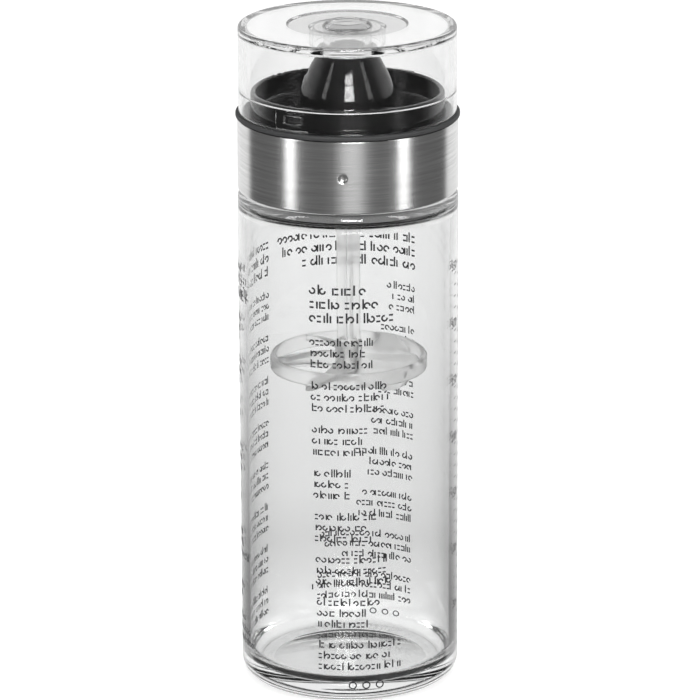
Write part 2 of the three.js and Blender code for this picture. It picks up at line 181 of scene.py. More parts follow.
# Mixing disc
DISC_HEIGHT = (HUB_BOTTOM + HUB_TOP) / 2
BAND_HEIGHT = 4.4 * MM
BAND_WALL = 1.8 * MM
BAND_FILLET = 0.8 * MM
HUB_RADIUS = 4 * MM
HUB_BORE = 2.8 * MM
HUB_FLOOR = 1.5 * MM
HUB_FOOT_FILLET = 0.9 * MM
BLADE_COUNT = 5
BLADE_THICKNESS = 1.5 * MM
BLADE_CHORD = 46
BLADE_RISE = 6 * MM
BLADE_DROP = 0.9 * MM
BLADE_SWEEP = 24
BLADE_TIP_ROUND = 3 * MM
FIRST_BLADE = -40
BLADE_STEPS = 20
JOINED_SHARP_ANGLE = 38

# Camera, from the photograph's perspective
CAMERA_PITCH = math.radians(17.02)
CAMERA_ROLL = math.radians(0.241)
CAMERA_DISTANCE = 1.3905
CAMERA_AIM = Vector((0.39 * MM, 0, 100.08 * MM))
CAMERA_LENS = 240.6
CAMERA_SENSOR = 36
CAMERA_NEAR = 0.05
CAMERA_FAR = 30


def make_camera():
    data = bpy.data.cameras.new("camera")
    data.lens = CAMERA_LENS
    data.sensor_width = CAMERA_SENSOR
    data.clip_start = CAMERA_NEAR
    data.clip_end = CAMERA_FAR
    camera = bpy.data.objects.new("camera", data)
    bpy.context.scene.collection.objects.link(camera)
    forward = Vector((0, math.cos(CAMERA_PITCH), -math.sin(CAMERA_PITCH)))
    camera.location = CAMERA_AIM - CAMERA_DISTANCE * forward
    turn = forward.to_track_quat("-Z", "Y").to_matrix().to_4x4()
    roll = turn.inverted().to_3x3() @ forward
    camera.rotation_euler = (turn.to_quaternion() @ Quaternion(roll, CAMERA_ROLL)).to_euler()
    bpy.context.scene.camera = camera


# Outlines and turned bodies
def outline(corners):
    """Closed outline through corners (radius, height, fillet); the fillet may be left out."""
    points = []
    count = len(corners)
    for i, entry in enumerate(corners):
        corner = Vector(entry[:2])
        fillet = entry[2] if len(entry) > 2 else 0
        if fillet == 0:
            points.append(corner)
            continue
        before = (Vector(corners[i - 1][:2]) - corner).normalized()
        after = (Vector(corners[(i + 1) % count][:2]) - corner).normalized()
        half = before.angle(after) / 2
        centre = corner + (before + after).normalized() * fillet / math.sin(half)
        start = corner + before * fillet / math.tan(half) - centre
        end = corner + after * fillet / math.tan(half) - centre
        sweep = math.atan2(start.cross(end), start.dot(end))
        for step in range(ARC_STEPS + 1):
            angle = sweep * step / ARC_STEPS
            cosine, sine = math.cos(angle), math.sin(angle)
            arm = Vector((start.x * cosine - start.y * sine, start.x * sine + start.y * cosine))
            points.append(centre + arm)
    return points


def direction_angle(degrees):
    """Angle in the XY plane of a direction given in degrees from the front, to the right."""
    return math.radians(degrees - 90)


def even_angles(extra=()):
    """Angles of a full turn, with some more where a detail needs them."""
    angles = {round(2 * math.pi * i / TURN_STEPS, 6) for i in range(TURN_STEPS)}
    angles |= {round(a % (2 * math.pi), 6) for a in extra}
    return sorted(angles)


def mesh_object(name, vertices, faces, material):
    mesh = bpy.data.meshes.new(name)
    mesh.from_pydata(vertices, [], faces)
    work = bmesh.new()
    work.from_mesh(mesh)
    bmesh.ops.recalc_face_normals(work, faces=work.faces)
    work.to_mesh(mesh)
    work.free()
    mesh.shade_smooth()
    mesh.set_sharp_from_angle(angle=math.radians(SHARP_ANGLE))
    mesh.materials.append(material)
    piece = bpy.data.objects.new(name, mesh)
    bpy.context.scene.collection.objects.link(piece)
    even = piece.modifiers.new("even_normals", "WEIGHTED_NORMAL")
    even.keep_sharp = True
    return piece


def lathe(name, rows, material, angles=None, shift=None):
    """Closed body of revolution about Z. shift(radius, height, angle) may move a point's radius."""
    angles = angles or even_angles()
    count = len(angles)
    vertices = []
    rings = []
    for radius, height in rows:
        if radius < NEAR:
            rings.append([len(vertices)] * count)
            vertices.append((0, 0, height))
            continue
        rings.append(list(range(len(vertices), len(vertices) + count)))
        for angle in angles:
            r = radius + (shift(radius, height, angle) if shift else 0)
            vertices.append((r * math.cos(angle), r * math.sin(angle), height))
    on_axis = rows[0][0] < NEAR and rows[-1][0] < NEAR
    faces = []
    for i in range(len(rings) - 1 if on_axis else len(rings)):
        low, high = rings[i], rings[(i + 1) % len(rings)]
        for j in range(count):
            k = (j + 1) % count
            face = [low[j], low[k], high[k], high[j]]
            face = [v for n, v in enumerate(face) if v not in face[:n]]
            if len(face) > 2:
                faces.append(face)
    return mesh_object(name, vertices, faces, material)


def with_rows(points, radius, heights):
    """Adds rows at the given heights to each upright stretch of an outline at this radius."""
    rows = []
    for i, point in enumerate(points):
        rows.append(point)
        after = points[(i + 1) % len(points)]
        if abs(point[0] - radius) < NEAR and abs(after[0] - radius) < NEAR:
            low, high = sorted((point[1], after[1]))
            inner = sorted(h for h in heights if low + NEAR < h < high - NEAR)
            rows += [(radius, h) for h in (inner if after[1] > point[1] else reversed(inner))]
    return rows


def spaced(start, end, step):
    """Even values from start to end, no further apart than the step."""
    count = math.ceil((end - start) / step)
    return [start + (end - start) * i / count for i in range(count + 1)]


def thread_stand(height, angle, start, turns):
    """How far a helical thread stands out of its wall at a height and angle."""
    stand = 0
    for turn in range(-1, 3):
        t = (angle / (2 * math.pi) + turn) / turns
        if 0 <= t <= 1:
            away = abs(height - start - THREAD_PITCH * turns * t)
            slope = (THREAD_BASE / 2 - away) / (THREAD_BASE / 2 - THREAD_CREST / 2)
            runout = min(1, t / THREAD_RUNOUT, (1 - t) / THREAD_RUNOUT)
            stand = max(stand, THREAD_DEPTH * min(1, max(0, slope)) * runout)
    return stand


# Materials
GLASS_INDEX = 1.5
CLEAR_PLASTIC_INDEX = 1.49
MILKY_PLASTIC_INDEX = 1.13
# Painted shade: the clear plastic's colour in the recess of the cap's top is multiplied by this grey
RECESS_PAINTED_SHADE = 0.55
RECESS_SOFT_EDGE = 0.6 * MM
STEEL_DARK = (0.6, 0.6, 0.597)
STEEL_LIGHT = (0.78, 0.78, 0.776)
STEEL_ROUGHNESS = (0.24, 0.26)
STEEL_ANISOTROPY = 0.8
STEEL_GRAIN_TURN = 0.25
FINE_STREAKS = (90, 90, 6500)
COARSE_STREAKS = (30, 30, 1500)
FINE_STREAK_SHARE = 0.6
STREAK_SPAN = (0.38, 0.62)
RUBBER_SKIN = (2500, 2500, 2500)
RUBBER_WEAR = (90, 90, 400)
RUBBER_ROUGHNESS = (0.55, 0.75)


def new_material(name):
    """New material, its node tree and its shader."""
    material = bpy.data.materials.new(name)
    material.use_nodes = True
    tree = material.node_tree
    return material, tree, tree.nodes["Principled BSDF"]


def calculate(tree, operation, first, second=None, clamp=False):
    """Output of a math node; the second value is a number or an output."""
    node = tree.nodes.new("ShaderNodeMath")
    node.operation = operation
    node.use_clamp = clamp
    tree.links.new(first, node.inputs[0])
    if isinstance(second, (int, float)):
        node.inputs[1].default_value = second
    elif second is not None:
        tree.links.new(second, node.inputs[1])
    return node.outputs[0]


def split_place(tree, output="Object"):
    """A texture coordinate, whole and in its three parts."""
    place = tree.nodes.new("ShaderNodeTexCoord").outputs[output]
    split = tree.nodes.new("ShaderNodeSeparateXYZ")
    tree.links.new(place, split.inputs[0])
    return place, split.outputs


def length_of(tree, vector):
    """Length of a vector output."""
    node = tree.nodes.new("ShaderNodeVectorMath")
    node.operation = "LENGTH"
    tree.links.new(vector, node.inputs[0])
    return node.outputs["Value"]


def stretched_noise(tree, scale, detail, roughness=0.55):
    """Noise over object coordinates that are stretched by a scale for each axis."""
    place = tree.nodes.new("ShaderNodeTexCoord")
    mapping = tree.nodes.new("ShaderNodeMapping")
    mapping.inputs["Scale"].default_value = scale
    noise = tree.nodes.new("ShaderNodeTexNoise")
    noise.inputs["Scale"].default_value = 1
    noise.inputs["Detail"].default_value = detail
    noise.inputs["Roughness"].default_value = roughness
    tree.links.new(place.outputs["Object"], mapping.inputs["Vector"])
    tree.links.new(mapping.outputs["Vector"], noise.inputs["Vector"])
    return noise.outputs["Fac"]


def ramp(tree, source, low, high, start=0.3, end=0.7, smooth=False):
    """Value that goes from low to high while the source goes from start to end."""
    node = tree.nodes.new("ShaderNodeMapRange")
    node.interpolation_type = "SMOOTHSTEP" if smooth else "LINEAR"
    node.inputs["From Min"].default_value = start
    node.inputs["From Max"].default_value = end
    node.inputs["To Min"].default_value = low
    node.inputs["To Max"].default_value = high
    tree.links.new(source, node.inputs["Value"])
    return node.outputs["Result"]


def colour_between(tree, source, first, second):
    """Colour that goes from the first to the second while the source goes from 0 to 1."""
    node = tree.nodes.new("ShaderNodeMix")
    node.data_type = "RGBA"
    node.inputs[6].default_value = (*first, 1)
    node.inputs[7].default_value = (*second, 1)
    tree.links.new(source, node.inputs["Factor"])
    return node.outputs[2]


def add_bump(tree, shader, source, strength, distance):
    bump = tree.nodes.new("ShaderNodeBump")
    bump.inputs["Strength"].default_value = strength
    bump.inputs["Distance"].default_value = distance
    tree.links.new(source, bump.inputs["Height"])
    tree.links.new(bump.outputs["Normal"], shader.inputs["Normal"])


def patterned_material(name, scale, detail, dark, light, smooth, rough, bump=0, depth=0, **glass):
    """Material whose tint, roughness and bump follow one noise; glass may give clear and index."""
    material, tree, shader = new_material(name)
    if glass:
        shader.inputs["Transmission Weight"].default_value = glass["clear"]
        shader.inputs["IOR"].default_value = glass["index"]
    source = stretched_noise(tree, scale, detail)
    tree.links.new(colour_between(tree, source, dark, light), shader.inputs["Base Color"])
    tree.links.new(ramp(tree, source, smooth, rough), shader.inputs["Roughness"])
    if bump:
        add_bump(tree, shader, source, bump, depth)
    return material


def darken_recess(material):
    """Paints shade into the clear plastic: its colour is made greyer in the recess of the cap's top."""
    tree = material.node_tree
    colour = tree.nodes["Principled BSDF"].inputs["Base Color"]
    place, parts = split_place(tree)
    flat = tree.nodes.new("ShaderNodeVectorMath")
    flat.operation = "MULTIPLY"
    flat.inputs[1].default_value = (1, 1, 0)
    tree.links.new(place, flat.inputs[0])
    reach = length_of(tree, flat.outputs[0])
    inside = ramp(tree, reach, 1, 0, CAP_RECESS_RADIUS - RECESS_SOFT_EDGE, CAP_RECESS_RADIUS)
    high = calculate(tree, "GREATER_THAN", parts["Z"], CAP_TOP - 2 * CAP_RECESS_DEPTH)
    # Painted shade: inside the recess's radius and above its floor, the colour is multiplied by the grey
    painted_shade = tree.nodes.new("ShaderNodeMix")
    painted_shade.data_type = "RGBA"
    painted_shade.blend_type = "MULTIPLY"
    painted_shade.inputs[7].default_value = (RECESS_PAINTED_SHADE, RECESS_PAINTED_SHADE, RECESS_PAINTED_SHADE, 1)
    tree.links.new(calculate(tree, "MULTIPLY", inside, high), painted_shade.inputs["Factor"])
    tree.links.new(colour.links[0].from_socket, painted_shade.inputs[6])
    tree.links.new(painted_shade.outputs[2], colour)


def steel_material():
    """Steel brushed around the collar: thin level streaks of varying length."""
    material, tree, shader = new_material("brushed_steel")
    shader.inputs["Metallic"].default_value = 1
    shader.inputs["Anisotropic"].default_value = STEEL_ANISOTROPY
    shader.inputs["Anisotropic Rotation"].default_value = STEEL_GRAIN_TURN
    fine = stretched_noise(tree, FINE_STREAKS, detail=4, roughness=0.75)
    fine = calculate(tree, "MULTIPLY", fine, FINE_STREAK_SHARE)
    coarse = stretched_noise(tree, COARSE_STREAKS, detail=3)
    coarse = calculate(tree, "MULTIPLY", coarse, 1 - FINE_STREAK_SHARE)
    streaks = calculate(tree, "ADD", fine, coarse)
    tint = colour_between(tree, ramp(tree, streaks, 0, 1, *STREAK_SPAN), STEEL_DARK, STEEL_LIGHT)
    tree.links.new(tint, shader.inputs["Base Color"])
    tree.links.new(ramp(tree, streaks, *STEEL_ROUGHNESS, *STREAK_SPAN), shader.inputs["Roughness"])
    tangent = tree.nodes.new("ShaderNodeTangent")
    tangent.direction_type = "RADIAL"
    tangent.axis = "Z"
    tree.links.new(tangent.outputs["Tangent"], shader.inputs["Tangent"])
    add_bump(tree, shader, streaks, strength=0.03, distance=0.01 * MM)
    return material


def rubber_material(name, dark, light):
    """Soft matte rubber with a fine sandy skin."""
    material, tree, shader = new_material(name)
    skin = stretched_noise(tree, RUBBER_SKIN, detail=2)
    wear = stretched_noise(tree, RUBBER_WEAR, detail=4)
    tree.links.new(colour_between(tree, wear, dark, light), shader.inputs["Base Color"])
    tree.links.new(ramp(tree, wear, *RUBBER_ROUGHNESS), shader.inputs["Roughness"])
    add_bump(tree, shader, skin, strength=0.35, distance=0.04 * MM)
    return material


# Pressed clear glass: long soft ripples along the wall
GLASS = patterned_material(
    "clear_glass", scale=(70, 70, 18), detail=2,
    dark=(0.912, 0.915, 0.914), light=(0.93, 0.933, 0.932), smooth=0, rough=0.012,
    bump=0.12, depth=0.3 * MM, clear=1, index=GLASS_INDEX)

# The bottle's shoulder: clear glass that the mould has left slightly hazy
HAZY_GLASS = patterned_material(
    "hazy_glass", scale=(160, 160, 500), detail=3,
    dark=(0.78, 0.783, 0.782), light=(0.93, 0.933, 0.932), smooth=0.02, rough=0.12,
    bump=0.1, depth=0.2 * MM, clear=0.78, index=GLASS_INDEX)

# Moulded clear plastic with fine flow marks
CLEAR_PLASTIC = patterned_material(
    "clear_plastic", scale=(120, 120, 60), detail=3,
    dark=(0.965, 0.967, 0.966), light=(0.985, 0.986, 0.985), smooth=0, rough=0.008,
    bump=0.03, depth=0.2 * MM, clear=1, index=CLEAR_PLASTIC_INDEX)
# Painted shade greys the cap's plastic in the recess of its top
darken_recess(CLEAR_PLASTIC)

STEEL = steel_material()

# Polished black moulding with a faint unevenness and a little handling haze
BLACK_PLASTIC = patterned_material(
    "black_plastic", scale=(150, 150, 150), detail=4,
    dark=(0.003, 0.003, 0.003), light=(0.006, 0.006, 0.006), smooth=0.04, rough=0.09,
    bump=0.06, depth=0.15 * MM)

DARK_RUBBER = rubber_material("dark_rubber", dark=(0.028, 0.029, 0.03), light=(0.05, 0.051, 0.052))
PALE_RUBBER = rubber_material("pale_rubber", dark=(0.68, 0.68, 0.66), light=(0.78, 0.78, 0.76))

# Natural translucent plastic: cloudy inside, satin outside
MILKY_PLASTIC = patterned_material(
    "milky_plastic", scale=(110, 110, 60), detail=3,
    dark=(0.985, 0.984, 0.98), light=(0.999, 0.998, 0.995), smooth=0.3, rough=0.42,
    bump=0.1, depth=0.2 * MM, clear=0.95, index=MILKY_PLASTIC_INDEX)

# Fired dark print, slightly uneven in tone
INK = patterned_material(
    "dark_print", scale=(900, 900, 900), detail=2,
    dark=(0.018, 0.018, 0.019), light=(0.035, 0.035, 0.036), smooth=0.35, rough=0.5)


# Pieces
def make_bottle():
    underside = SHOULDER_HEIGHT - SHOULDER_THICKNESS
    points = outline([
        *[(r, PUNT_DEPTH * (1 - (r / PUNT_RADIUS) ** 2)) for r in spaced(0, PUNT_RADIUS, PUNT_ROW)[:-1]],
        (PUNT_RADIUS, 0, SMALL_FILLET),
        (BOTTLE_RADIUS, 0, BASE_OUTER_FILLET),
        (BOTTLE_RADIUS, SHOULDER_HEIGHT, SHOULDER_FILLET),
        (NECK_RADIUS, SHOULDER_HEIGHT, NECK_LIP_FILLET / 2),
        (NECK_RADIUS, NECK_TOP, NECK_LIP_FILLET),
        (NECK_BORE, NECK_TOP, NECK_LIP_FILLET),
        (NECK_BORE, underside, SHOULDER_THICKNESS / 2),
        (BOTTLE_BORE, underside, SHOULDER_INNER_FILLET),
        (BOTTLE_BORE, BASE_THICKNESS, BASE_INNER_FILLET),
        (0, BASE_THICKNESS),
    ])
    rows = with_rows(points, NECK_RADIUS, spaced(SHOULDER_HEIGHT, NECK_TOP, THREAD_ROW))

    def thread(radius, height, angle):
        if abs(radius - NECK_RADIUS) > NEAR:
            return 0
        return thread_stand(height, angle, NECK_THREAD_START, NECK_THREAD_TURNS)

    bottle = lathe("bottle", rows, GLASS, shift=thread)
    bottle.data.materials.append(HAZY_GLASS)
    for face in bottle.data.polygons:
        reach = math.hypot(face.center.x, face.center.y)
        if SHOULDER_HEIGHT - HAZE_DEPTH < face.center.z <= SHOULDER_HEIGHT and reach > BOTTLE_BORE:
            face.material_index = 1
    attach(bottle, "bottle")
    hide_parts("glass_bottle")


def make_seal():
    seal = lathe("seal_washer", outline([
        (SEAL_BORE, SEAL_BOTTOM, SMALL_FILLET),
        (SEAL_RADIUS, SEAL_BOTTOM, SMALL_FILLET),
        (SEAL_RADIUS, SEAL_TOP, SMALL_FILLET),
        (SEAL_BORE, SEAL_TOP, SMALL_FILLET),
    ]), PALE_RUBBER)
    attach(seal, "seal")
    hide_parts("lid_seal")


def make_collar():
    bore = COLLAR_RADIUS - STEEL_WALL
    lip_bore = bore - COLLAR_LIP_WIDTH
    points = outline([
        (COLLAR_RADIUS, COLLAR_BOTTOM, COLLAR_FOOT_FILLET),
        (COLLAR_RADIUS, LID_TOP, COLLAR_TOP_FILLET),
        (bore, LID_TOP, COLLAR_TOP_FILLET),
        (bore, COLLAR_BOTTOM + STEEL_WALL, THIN_FILLET),
        (lip_bore, COLLAR_BOTTOM + STEEL_WALL, THIN_FILLET),
        (lip_bore, COLLAR_BOTTOM, THIN_FILLET),
    ])
    reach = 2 * DIMPLE_RADIUS
    heights = spaced(DIMPLE_HEIGHT - reach, DIMPLE_HEIGHT + reach, DIMPLE_ROW)
    rows = with_rows(points, COLLAR_RADIUS, heights)
    middle = direction_angle(DIMPLE_DIRECTION)
    half = reach / COLLAR_RADIUS
    near = [middle + a for a in spaced(-half, half, DIMPLE_ROW / COLLAR_RADIUS)]

    def dimple(radius, height, angle):
        if abs(radius - COLLAR_RADIUS) > NEAR:
            return 0
        across = ((angle - middle + math.pi) % (2 * math.pi) - math.pi) * COLLAR_RADIUS
        away = math.hypot(across, height - DIMPLE_HEIGHT) / DIMPLE_RADIUS
        return -DIMPLE_DEPTH * math.exp(-DIMPLE_STEEPNESS * away ** 4)

    collar = lathe("collar", rows, STEEL, even_angles(near), dimple)
    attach(collar, "lid")
    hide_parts("steel_collar")


def spout_radius(height):
    """Outer radius of the pouring cone at a height; it narrows in a slight curve."""
    share = (height - SPOUT_FOOT) / (SPOUT_TOP - SPOUT_FOOT)
    return SPOUT_FOOT_RADIUS - (SPOUT_FOOT_RADIUS - SPOUT_TOP_RADIUS) * share ** SPOUT_BULGE


def make_spout():
    heights = spaced(SPOUT_FOOT, SPOUT_TOP, SPOUT_ROW)[:-2]
    sides = [(spout_radius(h), h) for h in heights]
    inside = [(max(r - SPOUT_WALL, SPOUT_HOLE), h) for r, h in sides]
    points = outline([
        (SPOUT_FOOT_RADIUS, DISH_FLOOR, SPOUT_FLARE),
        (DISH_BORE, DISH_FLOOR, DISH_FILLET),
        (DISH_BORE, DISH_RIM, DISH_RIM_FILLET),
        (DISH_RADIUS, DISH_RIM, DISH_RIM_FILLET),
        (DISH_RADIUS, LID_TOP, DISH_FOOT_FILLET),
        (SKIRT_RADIUS, LID_TOP, SMALL_FILLET),
        (SKIRT_RADIUS, SKIRT_BOTTOM, SMALL_FILLET),
        (SKIRT_BORE, SKIRT_BOTTOM, SMALL_FILLET),
        (SKIRT_BORE, LAND_HEIGHT),
        (LAND_BORE, LAND_HEIGHT),
        (LAND_BORE, DISH_UNDERSIDE),
        (SOCKET_RADIUS, DISH_UNDERSIDE),
        (SOCKET_RADIUS, SOCKET_BOTTOM, SMALL_FILLET),
        (SOCKET_BORE, SOCKET_BOTTOM, SMALL_FILLET),
        (SOCKET_BORE, SOCKET_LEDGE),
        (SPOUT_FOOT_RADIUS - SPOUT_WALL, SOCKET_LEDGE),
        *inside,
        (SPOUT_HOLE, SPOUT_TOP, SPOUT_LIP_FILLET),
        (SPOUT_TOP_RADIUS, SPOUT_TOP, SPOUT_LIP_FILLET),
        *reversed(sides),
    ])
    rows = with_rows(points, SKIRT_BORE, spaced(SKIRT_BOTTOM, LAND_HEIGHT, THREAD_ROW))

    def thread(radius, height, angle):
        if abs(radius - SKIRT_BORE) > NEAR:
            return 0
        return -thread_stand(height, angle, LID_THREAD_START, LID_THREAD_TURNS)

    spout = lathe("spout_and_dish", rows, BLACK_PLASTIC, shift=thread)
    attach(spout, "lid")
    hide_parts("pour_spout")


def make_ring():
    ring = lathe("soft_ring", outline([
        (RING_RADIUS, RING_BOTTOM, RING_FILLET),
        (RING_RADIUS, RING_TOP, RING_FILLET),
        (RING_BORE, RING_TOP, THIN_FILLET),
        (RING_BORE, RING_BOTTOM, THIN_FILLET),
    ]), DARK_RUBBER)
    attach(ring, "lid")
    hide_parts("rim_ring")


def make_cap():
    points = outline([
        (0, CAP_CROWN),
        (BOSS_RADIUS - BOSS_SLOPE, CAP_CROWN, BOSS_RISE / 2),
        (BOSS_RADIUS, RECESS_FLOOR, SMALL_FILLET),
        (CAP_RECESS_RADIUS - CAP_RECESS_DEPTH, RECESS_FLOOR, SMALL_FILLET),
        (CAP_RECESS_RADIUS, CAP_TOP, SMALL_FILLET),
        (CAP_RADIUS, CAP_TOP, CAP_RIM_FILLET),
        (CAP_RADIUS, CAP_BOTTOM, SMALL_FILLET),
        (CAP_SKIRT_BORE, CAP_BOTTOM, SMALL_FILLET),
        (CAP_SKIRT_BORE, CAP_STEP, LUG_EDGE),
        (CAP_BORE, CAP_STEP, SMALL_FILLET),
        (CAP_BORE, CAP_CEILING, CAP_INNER_FILLET),
        (RIB_RADIUS, CAP_CEILING, SMALL_FILLET),
        (RIB_RADIUS, RIB_BOTTOM, SMALL_FILLET),
        (RIB_BORE, RIB_BOTTOM, SMALL_FILLET),
        (RIB_BORE, CAP_CEILING, SMALL_FILLET),
        (PLUG_RADIUS, CAP_CEILING, SMALL_FILLET),
        (PLUG_RADIUS, PLUG_BOTTOM, PLUG_FILLET),
        (PLUG_BORE, PLUG_BOTTOM, PLUG_FILLET),
        (PLUG_BORE, CAP_CEILING, PLUG_CEILING_FILLET),
        (0, CAP_CEILING),
    ])
    levels = (PAD_BOTTOM, PAD_TOP, LUG_BOTTOM, LUG_TOP)
    heights = [h + s for h in levels for s in (-LUG_EDGE, 0, LUG_EDGE)]
    rows = with_rows(points, CAP_SKIRT_BORE, heights)
    turns = (LUG_DIRECTION, LUG_DIRECTION + 180)
    edges = [t + side * width / 2 for t in turns for side in (-1, 1) for width in (PAD_ANGLE, LUG_ANGLE)]
    extra = [direction_angle(e + s) for e in edges for s in (-LUG_EDGE_ANGLE, 0, LUG_EDGE_ANGLE)]

    def rise(value, low, high, soft_edge):
        """Share that goes from 0 to 1 across the soft edges of a span."""
        inside = min(value - low, high - value) / (2 * soft_edge)
        return min(1, max(0, inside + 0.5))

    def lugs(radius, height, angle):
        if abs(radius - CAP_SKIRT_BORE) > NEAR:
            return 0
        depth = 0
        for turn in turns:
            away = (math.degrees(angle - direction_angle(turn)) + 180) % 360 - 180
            pad = rise(away, -PAD_ANGLE / 2, PAD_ANGLE / 2, LUG_EDGE_ANGLE)
            pad *= rise(height, PAD_BOTTOM, PAD_TOP, LUG_EDGE)
            lug = rise(away, -LUG_ANGLE / 2, LUG_ANGLE / 2, LUG_EDGE_ANGLE)
            lug *= rise(height, LUG_BOTTOM, LUG_TOP, LUG_EDGE)
            depth = max(depth, PAD_DEPTH * pad, LUG_DEPTH * lug)
        return -depth

    cap = lathe("cap", rows, CLEAR_PLASTIC, even_angles(extra), lugs)
    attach(cap, "cap")
    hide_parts("clear_cap")


def joined(pieces, name):
    """Joins closed pieces into one closed piece."""
    whole = pieces[0]
    for other in pieces[1:]:
        cut = whole.modifiers.new("join", "BOOLEAN")
        cut.operation = "UNION"
        cut.solver = "EXACT"
        cut.object = other
    graph = bpy.context.evaluated_depsgraph_get()
    mesh = bpy.data.meshes.new_from_object(whole.evaluated_get(graph))
    for piece in pieces:
        bpy.data.objects.remove(piece)
    mesh.shade_smooth()
    mesh.set_sharp_from_angle(angle=math.radians(JOINED_SHARP_ANGLE))
    result = bpy.data.objects.new(name, mesh)
    bpy.context.scene.collection.objects.link(result)
    return result


def make_blade(number):
    """A thin curved blade from the hub into the band, as a closed grid."""
    steps = BLADE_STEPS
    root = (HUB_RADIUS + HUB_BORE) / 2
    direction = direction_angle(FIRST_BLADE + number * 360 / BLADE_COUNT)
    vertices = []
    for side in (-0.5, 0.5):
        for i in range(steps + 1):
            chord = i / steps - 0.5
            tip = DISC_RADIUS - BAND_WALL / 2 - BLADE_TIP_ROUND * (2 * chord) ** 4
            for j in range(steps + 1):
                share = j / steps
                radius = root + share * (tip - root)
                turn = (chord + 0.5) * BLADE_CHORD + (share - 1) * BLADE_SWEEP
                angle = direction + math.radians(turn)
                wave = math.sin(math.pi * chord) * BLADE_RISE / 2
                height = DISC_HEIGHT - BLADE_DROP + wave + side * BLADE_THICKNESS
                vertices.append((radius * math.cos(angle), radius * math.sin(angle), height))
    row = steps + 1
    face = row * row
    faces = []
    for i in range(steps):
        for j in range(steps):
            a = i * row + j
            faces.append([a, a + 1, a + row + 1, a + row])
            faces.append([face + a, face + a + row, face + a + row + 1, face + a + 1])
    border = [i * row for i in range(steps)] + [steps * row + j for j in range(steps)]
    border += [i * row + steps for i in range(steps, 0, -1)] + list(range(steps, 0, -1))
    for i, a in enumerate(border):
        b = border[(i + 1) % len(border)]
        faces.append([a, b, face + b, face + a])
    return mesh_object(f"blade_{number}", vertices, faces, MILKY_PLASTIC)


def make_disc():
    hub = lathe("hub", outline([
        (0, HUB_BOTTOM),
        (HUB_RADIUS, HUB_BOTTOM, HUB_FOOT_FILLET),
        (HUB_RADIUS, HUB_TOP, SMALL_FILLET),
        (HUB_BORE, HUB_TOP, SMALL_FILLET),
        (HUB_BORE, HUB_BOTTOM + HUB_FLOOR),
        (0, HUB_BOTTOM + HUB_FLOOR),
    ]), MILKY_PLASTIC)
    low = DISC_HEIGHT - BAND_HEIGHT / 2
    high = DISC_HEIGHT + BAND_HEIGHT / 2
    band = lathe("band", outline([
        (DISC_RADIUS, low, BAND_FILLET),
        (DISC_RADIUS, high, BAND_FILLET),
        (DISC_RADIUS - BAND_WALL, high, BAND_FILLET),
        (DISC_RADIUS - BAND_WALL, low, BAND_FILLET),
    ]), MILKY_PLASTIC)
    disc = joined([hub, band, *map(make_blade, range(BLADE_COUNT))], "mixing_disc_fine")
    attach(disc, "lid")
    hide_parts("mixing_disc")


def dress_stem():
    """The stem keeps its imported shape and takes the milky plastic."""
    stem = bpy.data.objects["mixer_stem"]
    stem.data.materials.clear()
    stem.data.materials.append(MILKY_PLASTIC)


make_camera()
make_bottle()
make_seal()
make_collar()
make_spout()
make_ring()
make_cap()
make_disc()
dress_stem()


# Print on the glass: plain marks in lines, a graduation with plain numbers, small rings
PRINT_SKIN = 0.03 * MM
PRINT_ROOT = 0.02 * MM
TEXT_HEIGHT = 1.7 * MM
HEADING_TEXT_HEIGHT = 2.15 * MM
HEADING_HEIGHTS = (127.5 * MM, 123.3 * MM, 119.1 * MM)
GROUP_TOP = 111.9 * MM
GROUP_STEP = 13.35 * MM
LINE_STEP = 3.38 * MM
SCALE_ZERO = 5.5 * MM
SCALE_STEP = 17.6 * MM
SCALE_UNIT = 50
SCALE_COUNT = 7
SCALE_ANGLE = 79.5
TICKS_A_STEP = 5
TICK_RIGHT = 3.2 * MM
SHORT_TICK_LEFT = 0.7 * MM
TICK_WIDTH = 0.36 * MM
NUMBER_HEIGHT = 2.5 * MM
NUMBER_OFFSET = 1.2
DIGIT_SHARE = 0.7
DIGIT_CURVE_STEPS = 3
WELD_DISTANCE = 1e-7
RING_MARK_COUNT = 3
RING_MARK_HEIGHT = 6 * MM
RING_MARK_RADIUS = 1.05 * MM
RING_MARK_STEP = 7.15
RING_MARK_WIDTH = 0.38 * MM
RING_MARK_POINTS = 20

# Marks of a line, with sizes as shares of its height
STROKE_WIDTH = 0.25
BAR_CHANCE = 0.28
BAR_OR_TALL_CHANCE = 0.48
BAR_OR_ARC_CHANCE = 0.82
TALL_BAR = 1.42
BAR_ADVANCE = 0.42
ARC_ADVANCE = 1.02
DASH_LENGTH = 0.58
DASH_ADVANCE = 0.8
WORD_GAP = 0.55
MARKS_IN_WORD = (2, 8)
ARC_HALF_OPENING = 38
ARC_MARK_STEPS = 9

# Columns of lines: seed, direction, lengths of the headings and of the groups in millimetres
COLUMNS = {
    "print_front": (3, -20.3, (16, 18.5, 24), (16, 21, 15, 12, 16, 24, 16.5, 23)),
    "print_left": (11, 233, (29, 31, 33), (24, 27, 22, 26, 21, 28, 23, 30)),
    "print_back": (7, 139, (47, 46, 39), (9, 13, 12, 13, 18, 18, 28, 36)),
}
RING_MARKS = {"print_front": 1.4, "print_back": 152}
LINES_IN_GROUP = 3
LENGTH_SPREAD = (0.85, 1.15)
GROUP_INDENT = 0.3 * MM


